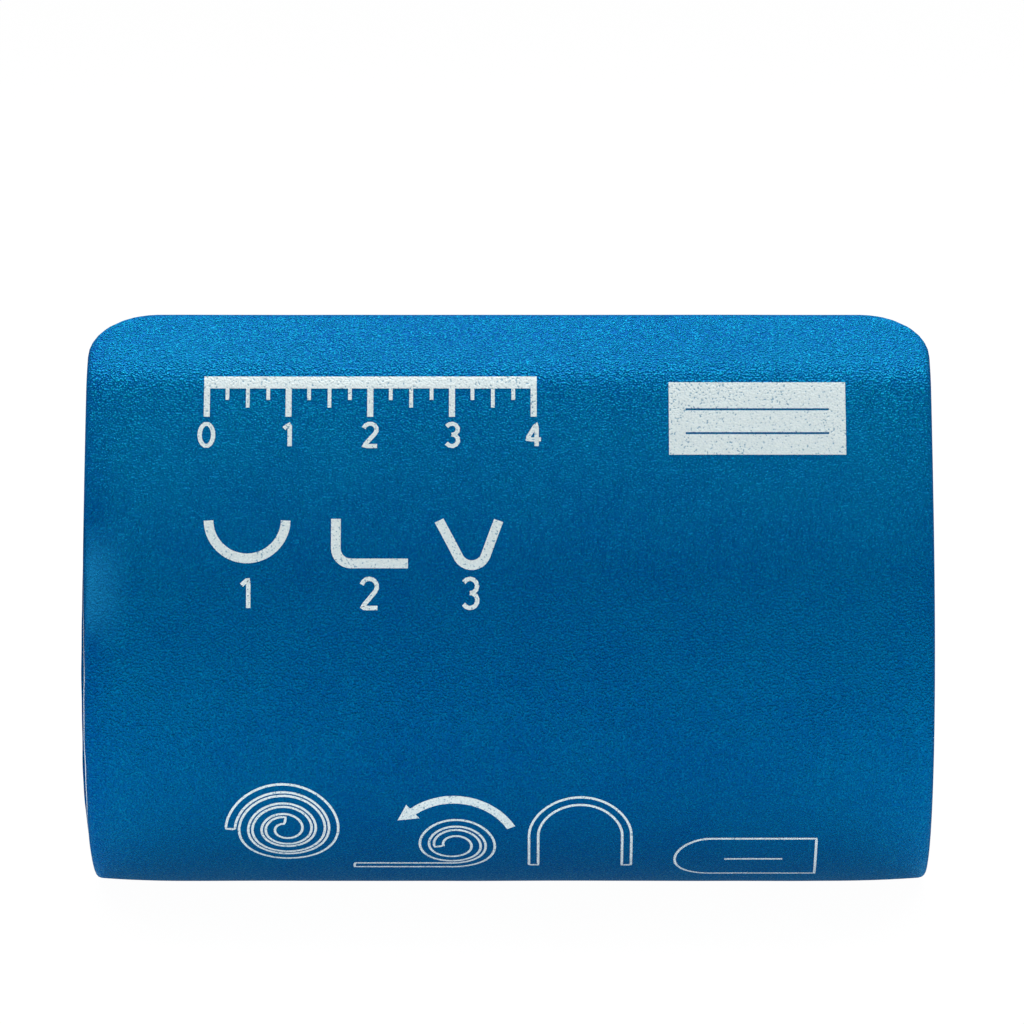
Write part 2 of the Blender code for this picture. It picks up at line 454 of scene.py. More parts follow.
def grain_group():
    """The pebbled skin of the foam: the height of its grain, how much of its light tone
    shows, and slow mottling. The tone is painted highlight on the pebbles and painted shade
    between them. Place is a point's place on the flat strip."""
    tree, given, result = new_group(
        "foam_grain", "ShaderNodeTree",
        [("Place", "Vector", None), ("Grain Size", "Float", 0.0004)],
        [("Height", "Float", None), ("Tone", "Float", None), ("Mottle", "Float", None)])
    place = given.outputs["Place"]
    fine = calculate(tree, "DIVIDE", 1.0, given.outputs["Grain Size"])
    pebbles = add_node(tree, "ShaderNodeTexVoronoi",
                       {"Vector": place, "Scale": fine, "Randomness": 1.0},
                       feature="F1")
    wrinkles = add_node(tree, "ShaderNodeTexNoise",
                        {"Vector": place, "Scale": calculate(tree, "MULTIPLY", fine, 1.3),
                         "Detail": 0.0})
    round_top = calculate(tree, "SUBTRACT", 1.0, pebbles.outputs["Distance"])
    height = calculate(tree, "MULTIPLY", round_top, 0.55)
    rough = calculate(tree, "MULTIPLY", wrinkles.outputs[0], 0.75)
    height = calculate(tree, "ADD", height, rough)
    tone = ramp(tree, height, 0.56, 0.92)
    broad = add_node(tree, "ShaderNodeTexNoise",
                     {"Vector": place, "Scale": calculate(tree, "MULTIPLY", fine, 0.14),
                      "Detail": 2.0})
    slow = add_node(tree, "ShaderNodeTexNoise",
                    {"Vector": place, "Scale": calculate(tree, "MULTIPLY", fine, 0.035),
                     "Detail": 1.0})
    mottle = calculate(tree, "ADD", calculate(tree, "MULTIPLY", broad.outputs[0], 0.5),
                       calculate(tree, "MULTIPLY", slow.outputs[0], 0.5))
    for name, value in (("Height", height), ("Tone", tone), ("Mottle", mottle)):
        tree.links.new(value, result.inputs[name])
    return tree


def new_material(name, roughness, specular):
    """A material with its shader ready: it, its tree and its Principled node."""
    made = bpy.data.materials.new(name)
    made.use_nodes = True
    shader = made.node_tree.nodes["Principled BSDF"]
    shader.inputs["Roughness"].default_value = roughness
    shader.inputs["Specular IOR Level"].default_value = specular
    return made, made.node_tree, shader


def strip_place(tree):
    """Where a point was on the flat strip."""
    return add_node(tree, "ShaderNodeAttribute", attribute_type="GEOMETRY",
                    attribute_name=PLACE_ATTRIBUTE).outputs["Vector"]


def placed_grain(tree, place, size):
    """The outputs of the foam's grain in a material."""
    return add_node(tree, "ShaderNodeGroup", {"Place": place, "Grain Size": size},
                    node_tree=bpy.data.node_groups["foam_grain"]).outputs


def add_bump(tree, shader, height, depth, strength):
    bump = add_node(tree, "ShaderNodeBump",
                    {"Strength": strength, "Distance": depth, "Height": height})
    tree.links.new(bump.outputs[0], shader.inputs["Normal"])


def mixed_colour(tree, factor, first, second):
    """The output of a Mix node on colours, each a value or a socket."""
    first, second = [shade if isinstance(shade, bpy.types.NodeSocket) else (*shade, 1.0)
                     for shade in (first, second)]
    return add_node(tree, "ShaderNodeMix", {0: factor, 6: first, 7: second},
                    data_type="RGBA").outputs[2]


def painted_light_by_place(tree, across, away):
    """How pale the skin is by its place, as painted light and shade: paler at the tip and
    along both sides as painted light, and less pale at the left rim as painted shade."""
    tip = ramp(tree, away, -LIT_TIP_TO_PLAIN[1], -LIT_TIP_TO_PLAIN[0], 0.34, 0.62)
    sides = ramp(tree, calculate(tree, "ABSOLUTE", across), *LIT_SIDES, 0.0, 0.07)
    shaded_left_rim = ramp(tree, across, LEFT_EDGE, LEFT_EDGE + SHADED_RIM_WIDTH, -0.15, 0.0)
    return calculate(tree, "ADD", calculate(tree, "ADD", tip, sides), shaded_left_rim)


def painted_sheen_patch(tree, across, away):
    """A mask of the painted sheen: a pale patch by the left rim."""
    past_middle = calculate(tree, "ADD", away, SHEEN_PATCH_MIDDLE)
    from_middle = calculate(tree, "ABSOLUTE", past_middle)
    along_rim = ramp(tree, from_middle, SHEEN_PATCH_LENGTH / 9, SHEEN_PATCH_LENGTH, 1.0, 0.0)
    beside_rim = ramp(tree, across, LEFT_EDGE, LEFT_EDGE + SHEEN_PATCH_WIDTH, 0.55, 0.0)
    return calculate(tree, "MULTIPLY", along_rim, beside_rim)


def foam_material(finish):
    """Closed-cell foam: a fine pebbled skin that catches the light, mottled a little, with
    a darker and duller rim where it is cut, darkened further at the ends as painted shade.
    The pebbles' painted highlight and shade shows most towards the tip. The colour also
    holds painted light and shade by place, and a painted sheen by the left rim."""
    made, tree, shader = new_material("blue_foam_skin", finish.roughness, 0.5)
    shader.inputs["IOR"].default_value = 1.0 + finish.gloss
    shader.inputs["Specular Tint"].default_value = (*finish.gloss_tint, 1.0)
    shader.inputs["Metallic"].default_value = finish.sheen_metal
    place = strip_place(tree)
    across, away, _ = add_node(tree, "ShaderNodeSeparateXYZ", {0: place}).outputs
    grain = placed_grain(tree, place, finish.grain_size)
    rim = add_node(tree, "ShaderNodeAttribute", attribute_type="GEOMETRY",
                   attribute_name=RIM_ATTRIBUTE).outputs["Fac"]

    # The pebbles' painted highlight and shade, strongest towards the tip where the light
    # grazes
    contrast = ramp(tree, away, -GRAIN_SHADE_STRONG_TO_WEAK[1], -GRAIN_SHADE_STRONG_TO_WEAK[0], 0.34, 1.0)
    tone = calculate(tree, "SUBTRACT", grain["Tone"], 0.5)
    # Painted light at the tip and both sides, painted shade at the left rim
    tone = calculate(tree, "MULTIPLY_ADD", tone, contrast, painted_light_by_place(tree, across, away))
    mottle = ramp(tree, grain["Mottle"], 0.35, 0.65, -0.03, 0.07, smooth=False)
    tone = calculate(tree, "ADD", tone, mottle, clamp=True)
    skin = mixed_colour(tree, tone, finish.pebble_shade_colour, finish.skin_colour)
    # A painted sheen by the left rim
    painted_sheen_mask = painted_sheen_patch(tree, across, away)
    skin = mixed_colour(tree, painted_sheen_mask, skin, finish.painted_sheen_colour)
    # The cut rim: partly its own colour, partly painted shade along the rim at the ends
    skin = mixed_colour(tree, rim, skin, finish.cut_and_shade_colour)
    tree.links.new(skin, shader.inputs["Base Color"])

    dull = ramp(tree, grain["Tone"], 0.0, 1.0, finish.roughness + 0.14,
                finish.roughness - 0.04, smooth=False)
    dull = calculate(tree, "ADD", dull, calculate(tree, "MULTIPLY", rim, 0.25), clamp=True)
    tree.links.new(dull, shader.inputs["Roughness"])
    add_bump(tree, shader, grain["Height"], finish.grain_depth, 1.0)
    return made


def ink_material(foam, finish):
    """White ink that is thin between the foam's pebbles and misses its deepest pores."""
    made, tree, shader = new_material("white_ink", 0.5, 0.2)
    grain = placed_grain(tree, strip_place(tree), foam.grain_size)
    thin = ramp(tree, grain["Height"], 0.45, 0.95, 0.12, 0.0)
    least_height = ramp(tree, grain["Mottle"], 0.46, 0.62, 0.34, 0.41)
    over = calculate(tree, "SUBTRACT", grain["Height"], least_height)
    pores = ramp(tree, over, 0.0, 0.10, 0.55, 0.0)
    missed = calculate(tree, "ADD", thin, pores, clamp=True)
    shown = mixed_colour(tree, missed, finish.ink_colour, foam.skin_colour)
    tree.links.new(shown, shader.inputs["Base Color"])
    add_bump(tree, shader, grain["Height"], foam.grain_depth, 0.5)
    return made


def core_material():
    """Soft rolled aluminium, dull, with faint marks along the strip."""
    made, tree, shader = new_material("soft_aluminium_sheet", 0.38, 0.5)
    shader.inputs["Metallic"].default_value = 1.0
    drawn_out = vector_math(tree, "MULTIPLY", strip_place(tree), (5.0, 0.6, 5.0))
    marks = add_node(tree, "ShaderNodeTexNoise",
                     {"Vector": drawn_out, "Scale": 700.0, "Detail": 2.0}).outputs[0]
    shown = mixed_colour(tree, marks, (0.52, 0.61, 0.67), (0.72, 0.80, 0.86))
    tree.links.new(shown, shader.inputs["Base Color"])
    dull = ramp(tree, marks, 0.3, 0.7, 0.30, 0.46, smooth=False)
    tree.links.new(dull, shader.inputs["Roughness"])
    return made


# The layers of the strip

def edge_distance(across, along, width, strip_length, radius):
    """How far points of the flat strip lie inside its rounded outline."""
    side = np.abs(across) - (width / 2 - radius)
    end = np.abs(along + strip_length / 2) - (strip_length / 2 - radius)
    outside = np.hypot(np.maximum(side, 0.0), np.maximum(end, 0.0))
    inside = np.minimum(np.maximum(side, end), 0.0)
    return radius - outside - inside


def row_distances(sizes):
    """Distances from the tip of the rows of points: closer at the ends, where the corners
    and the rims are round."""
    turns = np.linspace(0, math.pi / 2, 11)
    arc = [sizes.corner_radius * (1 - math.cos(turn)) for turn in turns]
    end = sorted(set(EDGE_STEPS) | {step for step in arc if step > EDGE_STEPS[-2]})
    count = math.ceil((sizes.strip_length - 2 * end[-1]) / ROW_STEP)
    middle = [end[-1] + (sizes.strip_length - 2 * end[-1]) * i / count
              for i in range(1, count)]
    return end + middle + [sizes.strip_length - step for step in reversed(end)]


def column_places(sizes, step):
    """Places across the strip of the columns of points, closer at its rims."""
    half = sizes.strip_width / 2
    inner = half - EDGE_STEPS[-1]
    count = math.ceil(2 * inner / step)
    middle = [-inner + 2 * inner * i / count for i in range(1, count)]
    left = [-half + edge for edge in EDGE_STEPS]
    return left + middle + [-place for place in reversed(left)]


def half_width(sizes, distance):
    """Half the strip's width at a distance from its nearer end."""
    radius = sizes.corner_radius
    end = min(distance, sizes.strip_length - distance)
    if end >= radius:
        return sizes.strip_width / 2
    return sizes.strip_width / 2 - radius + math.sqrt(radius**2 - (radius - end)**2)


def flat_layer(name, sizes, column_step, bonded, bare):
    """One closed layer of the flat strip. Bonded and bare are the heights of its faces."""
    rows = row_distances(sizes)
    columns = column_places(sizes, column_step)
    plate = bmesh.new()
    bmesh.ops.create_grid(plate, x_segments=len(columns) - 1, y_segments=len(rows) - 1,
                          size=0.5)
    for corner in plate.verts:
        i = round((corner.co.x + 0.5) * (len(columns) - 1))
        j = round((0.5 - corner.co.y) * (len(rows) - 1))
        narrowed = half_width(sizes, rows[j]) / (sizes.strip_width / 2)
        corner.co = (columns[i] * narrowed, -rows[j], bonded)
    grown = bmesh.ops.extrude_face_region(plate, geom=plate.faces[:], use_keep_orig=True)
    raised = [item for item in grown["geom"] if isinstance(item, bmesh.types.BMVert)]
    bmesh.ops.translate(plate, vec=(0, 0, bare - bonded), verts=raised)
    bmesh.ops.recalc_face_normals(plate, faces=plate.faces)
    mesh = bpy.data.meshes.new(name)
    plate.to_mesh(mesh)
    plate.free()
    return mesh


def in_window(along, window):
    """1 well inside a window along the flat strip, falling smoothly to 0 at its ends."""
    inside = np.minimum(-along - window.first, window.last + along) / window.fade
    inside = np.clip(inside, 0.0, 1.0)
    return inside**2 * (3 - 2 * inside)


def near_left_rim(across, sizes, reach):
    """1 at the flat strip's left rim, falling to 0 at a reach from it."""
    return np.clip(1 - (across + sizes.strip_width / 2) / reach, 0.0, 1.0)**2


def cut_left_rim(places, sizes, finish, cut):
    """Cuts a flat layer's left rim back unevenly where the core shows, and evenly where
    the strip runs on below that."""
    across, along = places[:, 0].copy(), places[:, 1]
    wobble = 1 + 0.22 * np.sin(along / (2.1 * MM)) + 0.12 * np.sin(along / (0.9 * MM))
    uneven = cut * in_window(along, CORE_SHOWS) * wobble
    even = finish.lower_cut * in_window(along, ALL_CUT_BACK)
    places[:, 0] += (uneven + even) * near_left_rim(across, sizes, CUT_REACH)


def shape_pad(places, sizes, finish, bonded, bare, is_outer):
    """Rounds and thins a flat pad at its rim, and gives its rim mark for the material: the
    cut foam's own darker rim, widened at the ends as painted shade.
    """
    across, along, off = places[:, 0], places[:, 1], places[:, 2]
    inside = edge_distance(across, along, sizes.strip_width, sizes.strip_length,
                           sizes.corner_radius)
    inside = np.maximum(inside, 0.0)
    short = np.clip(finish.rim_radius - inside, 0.0, finish.rim_radius)
    drop = finish.rim_radius - np.sqrt(finish.rim_radius**2 - short**2)
    thin = np.clip(1 - inside / finish.pinch_width, 0.0, 1.0)
    drop += finish.edge_pinch * thin**2
    if is_outer:
        swell = in_window(along, SWELL) * near_left_rim(across, sizes, SWELL_REACH)
        drop += finish.edge_swell * swell
    is_bare = np.abs(off - bare) < np.abs(off - bonded)
    places[is_bare, 2] -= math.copysign(1.0, bare - bonded) * drop[is_bare]
    from_end = np.minimum(-along, along + sizes.strip_length)
    side_mark = np.clip(1 - inside / SIDE_CUT_WIDTH, 0, 1)
    # Wider at the ends: painted shade along the rounded rim there
    end_mark = np.clip(1 - from_end / END_CUT_AND_SHADE_WIDTH, 0, 1)
    return np.maximum(side_mark**2, end_mark)


def shaped(mesh, change):
    """Passes a mesh's points through a function that may move them, and gives its answer."""
    places = np.empty(len(mesh.vertices) * 3)
    mesh.vertices.foreach_get("co", places)
    places = places.reshape(-1, 3)
    answer = change(places)
    mesh.vertices.foreach_set("co", places.ravel())
    mesh.update()
    return answer


def mark_rim(mesh, marks):
    rim = mesh.attributes.new(RIM_ATTRIBUTE, "FLOAT", "POINT")
    rim.data.foreach_set("value", marks.astype(np.float32))


def wind(name, mesh, sizes, finish, look, outer_face=1.0):
    """Winds a flat mesh along the path and gives the finished object. Outer_face is the
    height from which the slow waves begin."""
    item = bpy.data.objects.new(name, mesh)
    bpy.context.scene.collection.objects.link(item)
    guide = path_curve(sizes)
    one_turn = sizes.free_end_length + math.tau * roll_shape(sizes).outer_radius
    finished = apply_nodes(item, bpy.data.node_groups["wind_along_path"], {
        "Path": guide, "Strip Length": sizes.strip_length,
        "Ripple Height": finish.ripple_height, "Ripple Size": finish.ripple_size,
        "Ripple From": outer_face, "Ripple End": one_turn, "Drift": finish.drift,
        "Material": look})
    item.modifiers.clear()
    item.data = finished
    finished.name = name
    bpy.data.objects.remove(guide)
    finished.shade_smooth()
    finished.set_sharp_from_angle(angle=SHARP_ANGLE)
    return item


def seat(item, slot, *nodes):
    """Lets a finished piece ride on the part, and hides the nodes it replaces. Its slot is
    not used.
    """
    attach(item, "root")
    if nodes:
        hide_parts(*nodes)
    return item


def bare_heights(sizes):
    """Heights of the outer and the inner pad's bare faces over the strip's middle. The
    outer one is the solid's, and the inner one nearly closes the gap to the next turn."""
    outer = strip_thickness(sizes) / 2
    inner = -(outer + sizes.turn_gap - ROOM_BETWEEN_TURNS)
    return outer, inner


# The print

Shape = namedtuple("Shape", "points closed")


def add_spline(curve, points, height, closed):
    """Adds straight lines to a curve, through points given in millimetres across the strip
    and from its tip."""
    spline = curve.splines.new("POLY")
    spline.points.add(len(points) - 1)
    spline.use_cyclic_u = closed
    for point, (x, distance) in zip(spline.points, points):
        point.co = (x * MM, -distance * MM, height, 1.0)


def arc_points(centre, radius, start, sweep, growth=0.0, step=6.0):
    """Points along an arc in millimetres and degrees, or a spiral that grows per turn.
    Angles run the mathematical way, with 90 towards the tip."""
    count = max(2, math.ceil(abs(sweep) / step))
    points = []
    for i in range(count + 1):
        turned = sweep * i / count
        angle = math.radians(start + turned)
        reach = radius + growth * abs(turned) / 360
        points.append((centre[0] + reach * math.cos(angle),
                       centre[1] - reach * math.sin(angle)))
    return points


def outline_of(points, thickness):
    """A closed outline at an even distance round an open line, in millimetres."""
    line = [Vector(point) for point in points]
    runs = [(after - before).normalized() for before, after in zip(line, line[1:])]
    turns = zip(runs[:1] + runs, runs + runs[-1:])
    sides = [Vector((-(a + b).y, (a + b).x)).normalized() * thickness / 2
             for a, b in turns]
    first = [tuple(point + side) for point, side in zip(line, sides)]
    second = [tuple(point - side) for point, side in zip(line, sides)]
    return first + second[::-1]


def filled_area(*outlines):
    """A flat area within outlines given in millimetres. An outline inside another one is a
    hole. It is cut both ways in small steps, so that it can be wound."""
    data = bpy.data.curves.new("ink_area", "CURVE")
    data.dimensions = "2D"
    data.fill_mode = "BOTH"
    for outline in outlines:
        add_spline(data, outline, 0.0, closed=True)
    area = bpy.data.objects.new("ink_area", data)
    bpy.context.scene.collection.objects.link(area)
    bpy.context.view_layer.update()
    evaluated = area.evaluated_get(bpy.context.evaluated_depsgraph_get())
    raw = bpy.data.meshes.new_from_object(evaluated)
    bpy.data.objects.remove(area)
    plate = bmesh.new()
    plate.from_mesh(raw)
    bpy.data.meshes.remove(raw)
    bmesh.ops.remove_doubles(plate, verts=plate.verts, dist=0.001 * MM)
    for axis in (Vector((0.0, 1.0, 0.0)), Vector((1.0, 0.0, 0.0))):
        reaches = [corner.co.dot(axis) for corner in plate.verts]
        first = math.floor(min(reaches) / AREA_STEP)
        for i in range(first, math.ceil(max(reaches) / AREA_STEP) + 1):
            everything = plate.verts[:] + plate.edges[:] + plate.faces[:]
            bmesh.ops.bisect_plane(plate, geom=everything, dist=0.002 * MM,
                                   plane_co=axis * AREA_STEP * i, plane_no=axis)
    return plate


def digit_lines(digit, place, height):
    """The strokes of a plain digit whose top is centred at a place, in millimetres."""
    if digit == 0:
        lines = [[(0.28 * math.cos(turn), 0.5 - 0.5 * math.sin(turn))
                  for turn in np.linspace(0, math.tau, 25)]]
    elif digit == 1:
        lines = [[(-0.18, 0.22), (0.06, 0.0), (0.06, 1.0)]]
    elif digit == 2:
        lines = [arc_points((0.0, 0.27), 0.27, 165, -205) + [(-0.27, 1.0), (0.29, 1.0)]]
    elif digit == 3:
        lines = [arc_points((0.0, 0.25), 0.25, 150, -240),
                 arc_points((0.0, 0.74), 0.26, 90, -240)]
    else:
        lines = [[(0.12, 1.0), (0.12, 0.0), (-0.28, 0.7), (0.3, 0.7)]]
    return [Shape([(place[0] + x * height, place[1] + down * height) for x, down in line],
                  False) for line in lines]


class InkMesh:
    """Collects the lines and areas of one printed piece, all on the flat strip."""

    def __init__(self, sizes, finish):
        self.top = bare_heights(sizes)[0] + finish.lift
        self.depth = finish.depth + finish.lift
        self.plate = bmesh.new()

    def area(self, *outlines):
        """Adds the area within outlines, as a closed plate."""
        flat = filled_area(*outlines)
        bmesh.ops.translate(flat, vec=(0, 0, self.top - self.depth), verts=flat.verts)
        grown = bmesh.ops.extrude_face_region(flat, geom=flat.faces[:], use_keep_orig=True)
        raised = [item for item in grown["geom"] if isinstance(item, bmesh.types.BMVert)]
        bmesh.ops.translate(flat, vec=(0, 0, self.depth), verts=raised)
        bmesh.ops.recalc_face_normals(flat, faces=flat.faces)
        kept = bpy.data.meshes.new("ink_area")
        flat.to_mesh(kept)
        flat.free()
        self.plate.from_mesh(kept)
        bpy.data.meshes.remove(kept)

    def lines(self, shapes, width):
        """Draws lines of one width with the Geometry Nodes for strokes."""
        data = bpy.data.curves.new("ink_line", "CURVE")
        data.dimensions = "3D"
        for shape in shapes:
            add_spline(data, shape.points, self.top - self.depth / 2, shape.closed)
        item = bpy.data.objects.new("ink_line", data)
        bpy.context.scene.collection.objects.link(item)
        mesh = apply_nodes(item, bpy.data.node_groups["ink_lines"], {
            "Width": width, "Thickness": self.depth, "Step": LINE_STEP,
            "Material": bpy.data.materials["white_ink"]})
        self.plate.from_mesh(mesh)
        bpy.data.objects.remove(item)
        bpy.data.meshes.remove(mesh)

    def as_mesh(self, name):
        mesh = bpy.data.meshes.new(name)
        bmesh.ops.recalc_face_normals(self.plate, faces=self.plate.faces)
        self.plate.to_mesh(mesh)
        self.plate.free()
        return mesh


def rectangle(left, right, first, last):
    """A rectangle on the strip, in millimetres."""
    return [(left, first), (right, first), (right, last), (left, last)]


def draw_ruler(ink, finish):
    """A short ruler: a bar, ticks of three lengths, and plain numbers."""
    left, step, count = -36.2, 2.45, 16
    bar_top, bar_foot, number_top, number_height = 13.1, 14.5, 19.1, 2.9
    long_half, short_half = 0.36, 0.22
    ruler = [(left - long_half, bar_top), (left + step * count + long_half, bar_top)]
    for i in range(count, -1, -1):
        middle = left + step * i
        reach = 18.2 if i % 4 == 0 else 17.0 if i % 2 == 0 else 16.0
        half = long_half if i % 4 == 0 else short_half
        ruler += [(middle + half, bar_foot), (middle + half, reach),
                  (middle - half, reach), (middle - half, bar_foot)]
    ink.area(ruler)
    numbers = []
    for i in range(0, count + 1, 4):
        numbers += digit_lines(i // 4, (left + step * i, number_top), number_height)
    ink.lines(numbers, finish.number_width)


def draw_label(ink, finish):
    """A solid box to write on, with two thin bare rules."""
    left, right, first, last = 19.2, 40.4, 13.8, 23.1
    margin, rule_width = 2.0, 0.28
    rules = [rectangle(left + margin, right - margin, line, line + rule_width)
             for line in (17.1, 20.2)]
    ink.area(rectangle(left, right, first, last), *rules)


def draw_bends(ink, finish):
    """Three bold profiles of a bent strip, with a plain number under each."""
    trough = arc_points((-31.2, 31.4), 4.6, 180, 180)
    hook = [(-20.6, 31.2), (-20.6, 34.8)] + arc_points((-18.8, 34.8), 1.8, 180, 90) + [
        (-12.0, 36.6)]
    fold = ([(-8.3, 31.4), (-6.0, 35.8)] + arc_points((-4.4, 35.0), 1.8, 205, 130)
            + [(-1.2, 31.4)])
    ink.lines([Shape(points, False) for points in (trough, hook, fold)],
              finish.bold_width)
    numbers = []
    for digit, middle in ((1, -31.2), (2, -16.6), (3, -4.6)):
        numbers += digit_lines(digit, (middle, 38.4), 3.4)
    ink.lines(numbers, finish.number_width)


def draw_steps(ink, finish):
    """Thin drawings of a roll, a strip being unrolled, and an arched strip."""
    base, strip_drawn, arrow_width = 77.2, 1.1, 1.1 * MM
    roll = arc_points((-26.8, 69.4), 1.4, 90, 1170, growth=1.6)
    unrolled = ([(-18.6, base), (-6.6, base)]
                + arc_points((-6.6, 72.4), 4.8, -90, 640, growth=-1.7))
    arch = [(3.0, base), (3.0, 70.6)] + arc_points((8.6, 70.6), 5.6, 180, -180) + [
        (14.2, base)]
    ink.lines([Shape(outline_of(points, strip_drawn), True)
               for points in (roll, unrolled, arch)], finish.line_width)
    turning = arc_points((-6.6, 72.4), 7.6, 25, 105)
    ink.lines([Shape(turning, False)], arrow_width)
    tip = Vector(turning[-1])
    ahead = (tip - Vector(turning[-2])).normalized()
    aside = Vector((-ahead.y, ahead.x))
    ink.area([tip + aside * 1.3, tip + ahead * 2.3, tip - aside * 1.3])


def draw_strip(ink, finish):
    """The thin outline of a flat strip with a round end, and a rule along its middle."""
    end = arc_points((24.4, 75.6), 4.4, 90, 180)
    outline = [(37.0, 71.2), (24.4, 71.2)] + end + [(37.0, 80.0)]
    rule = [(26.0, 75.6), (33.0, 75.6)]
    ink.lines([Shape(outline, True), Shape(rule, False)], finish.line_width)


PRINTED = {
    "print_ruler": draw_ruler,
    "print_label": draw_label,
    "print_bends": draw_bends,
    "print_steps": draw_steps,
    "print_strip": draw_strip,
}


# Operators

class SPLINT_OT_prepare(bpy.types.Operator):
    """Makes the node groups and the materials that the pieces share"""

    bl_idname = "splint.prepare"
    bl_label = "Prepare nodes and materials"

    def execute(self, context):
        wind_group()
        stroke_group()
        grain_group()
        foam_material(context.scene.splint_foam)
        ink_material(context.scene.splint_foam, context.scene.splint_print)
        core_material()
        return {"FINISHED"}


class SPLINT_OT_core(bpy.types.Operator):
    """Makes the soft aluminium sheet between the pads"""

    bl_idname = "splint.core"
    bl_label = "Make the core sheet"

    def execute(self, context):
        sizes, finish = context.scene.splint_sizes, context.scene.splint_foam
        half = sizes.core_thickness / 2
        mesh = flat_layer("core_metal", sizes, INNER_COLUMN_STEP, -half, half)
        shaped(mesh, lambda places: cut_left_rim(places, sizes, finish, finish.core_cut))
        core = wind("core_metal", mesh, sizes, finish,
                    bpy.data.materials["soft_aluminium_sheet"])
        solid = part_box("core_sheet")
        shown = [Vector(corner) for corner in core.bound_box]
        for side, pick in ((0, min), (1, max)):
            for axis in (1, 2):
                apart = pick(corner[axis] for corner in shown) - solid[side][axis]
                if abs(apart) > PATH_TOLERANCE:
                    raise RuntimeError("The path has left the packed core sheet")
        seat(core, "soft_aluminium", "core_sheet")
        return {"FINISHED"}


class SPLINT_OT_pads(bpy.types.Operator):
    """Makes the outer and the inner foam pad"""

    bl_idname = "splint.pads"
    bl_label = "Make the foam pads"

    def execute(self, context):
        sizes, finish = context.scene.splint_sizes, context.scene.splint_foam
        foam = bpy.data.materials["blue_foam_skin"]
        bonded = sizes.core_thickness / 2 + ROOM_AT_BOND
        outer, inner = bare_heights(sizes)
        for node, step, low, high, cut in (
                ("outer_pad", OUTER_COLUMN_STEP, bonded, outer, finish.outer_cut),
                ("inner_pad", INNER_COLUMN_STEP, -bonded, inner, -INNER_OVERHANG)):
            name = node.replace("pad", "foam")
            mesh = flat_layer(name, sizes, step, low, high)
            marks = shaped(mesh, lambda places: shape_pad(places, sizes, finish, low, high,
                                                          node == "outer_pad"))
            mark_rim(mesh, marks)
            shaped(mesh, lambda places: cut_left_rim(places, sizes, finish, cut))
            pad = wind(name, mesh, sizes, finish, foam, outer_face=outer / 2)
            seat(pad, "blue_foam", node)
        return {"FINISHED"}


class SPLINT_OT_print(bpy.types.Operator):
    """Prints the ruler, the box to write on and the drawings on the outer foam"""

    bl_idname = "splint.print"
    bl_label = "Print the foam"

    def execute(self, context):
        sizes, foam = context.scene.splint_sizes, context.scene.splint_foam
        finish = context.scene.splint_print
        for name, draw in PRINTED.items():
            ink = InkMesh(sizes, finish)
            draw(ink, finish)
            printed = wind(name, ink.as_mesh(name), sizes, foam,
                           bpy.data.materials["white_ink"],
                           outer_face=bare_heights(sizes)[0] / 2)
            seat(printed, "white_print")
        return {"FINISHED"}


# The stage

Lamp = namedtuple("Lamp", "name place aim width height power")
LAMPS = (
    Lamp("rear_overhead_box", (0.0, 0.36, 0.62), (0.0, 0.0, 0.05), 0.9, 0.30, 8.2),
    Lamp("overhead_box", (0.0, 0.08, 0.75), (0.0, 0.0, 0.05), 1.0, 0.36, 2.0),
    Lamp("low_left_box", (-0.50, -0.80, 0.13), (-0.05, -0.03, 0.03), 0.12, 0.2, 0.5),
)


def add_lamp(lamp, strength):
    data = bpy.data.lights.new(lamp.name, "AREA")
    data.shape = "RECTANGLE"
    data.size = lamp.width
    data.size_y = lamp.height
    data.energy = lamp.power * strength
    item = bpy.data.objects.new(lamp.name, data)
    item.location = lamp.place
    aim = Vector(lamp.aim) - Vector(lamp.place)
    item.rotation_euler = aim.to_track_quat("-Z", "Y").to_euler()
    bpy.context.scene.collection.objects.link(item)


def nearest_surface(sizes, elevation):
    """The point of the outer foam that is nearest to a camera at this elevation."""
    points = path_points(sizes)
    bare = bare_heights(sizes)[0]
    nearest, best = None, math.inf
    for before, after in zip(points, points[1:]):
        run = (after - before).normalized()
        y, z = before + Vector((run.y, -run.x)) * bare
        depth = y * math.cos(elevation) - z * math.sin(elevation)
        if depth < best:
            nearest, best = Vector((0.0, y, z)), depth
    return nearest


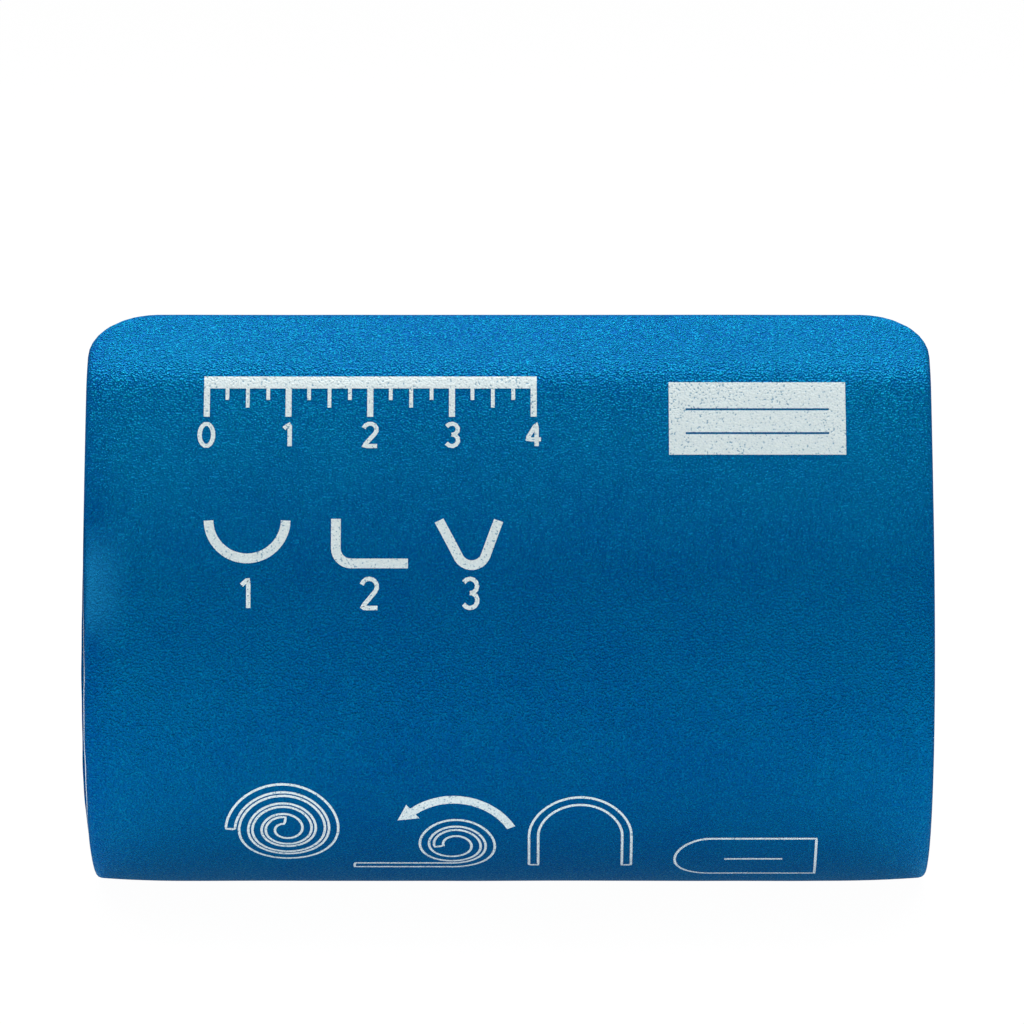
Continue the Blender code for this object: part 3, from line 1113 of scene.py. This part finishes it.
class SPLINT_OT_stage(bpy.types.Operator):
    """Adds the camera, the plain floor and the soft lights"""

    bl_idname = "splint.stage"
    bl_label = "Set the stage"

    def execute(self, context):
        scene, settings = context.scene, context.scene.splint_stage
        scene.view_settings.view_transform = "Standard"
        self.camera(scene, settings)
        self.floor(settings)
        self.surround(scene, settings)
        for lamp in LAMPS:
            add_lamp(lamp, settings.light)
        return {"FINISHED"}

    def camera(self, scene, settings):
        data = bpy.data.cameras.new("camera")
        data.sensor_width = 36.0
        data.lens = settings.lens
        data.clip_start = 0.05
        data.clip_end = 20.0
        camera = bpy.data.objects.new("camera", data)
        tilt = settings.elevation
        ahead = Vector((0.0, math.cos(tilt), -math.sin(tilt)))
        upward = Vector((0.0, math.sin(tilt), math.cos(tilt)))
        middle = nearest_surface(scene.splint_sizes, tilt) + upward * settings.axis_height
        middle.x += settings.axis_right
        camera.location = middle - ahead * settings.camera_distance
        camera.rotation_euler = (math.pi / 2 - tilt, 0.0, 0.0)
        scene.collection.objects.link(camera)
        scene.camera = camera

    def floor(self, settings):
        mesh = bpy.data.meshes.new("floor")
        plate = bmesh.new()
        bmesh.ops.create_grid(plate, x_segments=1, y_segments=1, size=4.0)
        plate.to_mesh(mesh)
        plate.free()
        made, tree, shader = new_material("pale_floor", 0.9, 0.0)
        soft = add_node(tree, "ShaderNodeTexNoise",
                        {"Vector": add_node(tree, "ShaderNodeTexCoord").outputs["Object"],
                         "Scale": 3.0})
        pale = tuple(settings.floor_colour)
        shown = mixed_colour(tree, soft.outputs[0], [0.99 * part for part in pale], pale)
        tree.links.new(shown, shader.inputs["Base Color"])
        shader.inputs["Emission Color"].default_value = (1, 1, 1, 1)
        shader.inputs["Emission Strength"].default_value = settings.glow
        self.whiten(tree, shader, settings.whiten)
        mesh.materials.append(made)
        floor = bpy.data.objects.new("floor", mesh)
        bpy.context.scene.collection.objects.link(floor)

    def whiten(self, tree, shader, amount):
        """Lets the floor fade into the white surround where the camera sees it."""
        seen = add_node(tree, "ShaderNodeLightPath").outputs["Is Camera Ray"]
        part = calculate(tree, "MULTIPLY", seen, amount)
        white = add_node(tree, "ShaderNodeEmission", {"Color": (1, 1, 1, 1)})
        both = add_node(tree, "ShaderNodeMixShader",
                        {0: part, 1: shader.outputs[0], 2: white.outputs[0]})
        tree.links.new(both.outputs[0], tree.nodes["Material Output"].inputs["Surface"])

    def surround(self, scene, settings):
        """White where the camera looks, and a dimmer even light for all else."""
        world = bpy.data.worlds.new("surround")
        world.use_nodes = True
        scene.world = world
        tree = world.node_tree
        tree.nodes.clear()
        seen = add_node(tree, "ShaderNodeLightPath").outputs["Is Camera Ray"]
        white = add_node(tree, "ShaderNodeBackground", {"Color": (1, 1, 1, 1)})
        dim = add_node(tree, "ShaderNodeBackground",
                       {"Color": (0.95, 0.98, 1, 1), "Strength": settings.surround})
        both = add_node(tree, "ShaderNodeMixShader",
                        {0: seen, 1: dim.outputs[0], 2: white.outputs[0]})
        add_node(tree, "ShaderNodeOutputWorld", {"Surface": both.outputs[0]})


class SPLINT_PT_panel(bpy.types.Panel):
    """Lists the steps that make the splint"""

    bl_label = "Padded splint"
    bl_idname = "SPLINT_PT_panel"
    bl_space_type = "VIEW_3D"
    bl_region_type = "UI"
    bl_category = "Splint"

    def draw(self, context):
        for group in GROUPS:
            box = self.layout.box()
            settings = getattr(context.scene, group)
            for name in settings.__annotations__:
                box.prop(settings, name)
        for step in STEPS:
            self.layout.operator(step.bl_idname)


GROUPS = {
    "splint_sizes": SplintSizes,
    "splint_foam": FoamFinish,
    "splint_print": PrintFinish,
    "splint_stage": StageSettings,
}
STEPS = (SPLINT_OT_prepare, SPLINT_OT_core, SPLINT_OT_pads, SPLINT_OT_print,
         SPLINT_OT_stage)


def register():
    for made in (*GROUPS.values(), *STEPS, SPLINT_PT_panel):
        bpy.utils.register_class(made)
    for name, group in GROUPS.items():
        setattr(bpy.types.Scene, name, bpy.props.PointerProperty(type=group))


def unregister():
    for name in GROUPS:
        delattr(bpy.types.Scene, name)
    for made in (SPLINT_PT_panel, *reversed(STEPS), *GROUPS.values()):
        bpy.utils.unregister_class(made)


def main():
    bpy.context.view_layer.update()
    register()
    bpy.ops.splint.prepare()
    bpy.ops.splint.core()
    bpy.ops.splint.pads()
    bpy.ops.splint.print()
    bpy.ops.splint.stage()


if __name__ == "__main__":
    main()
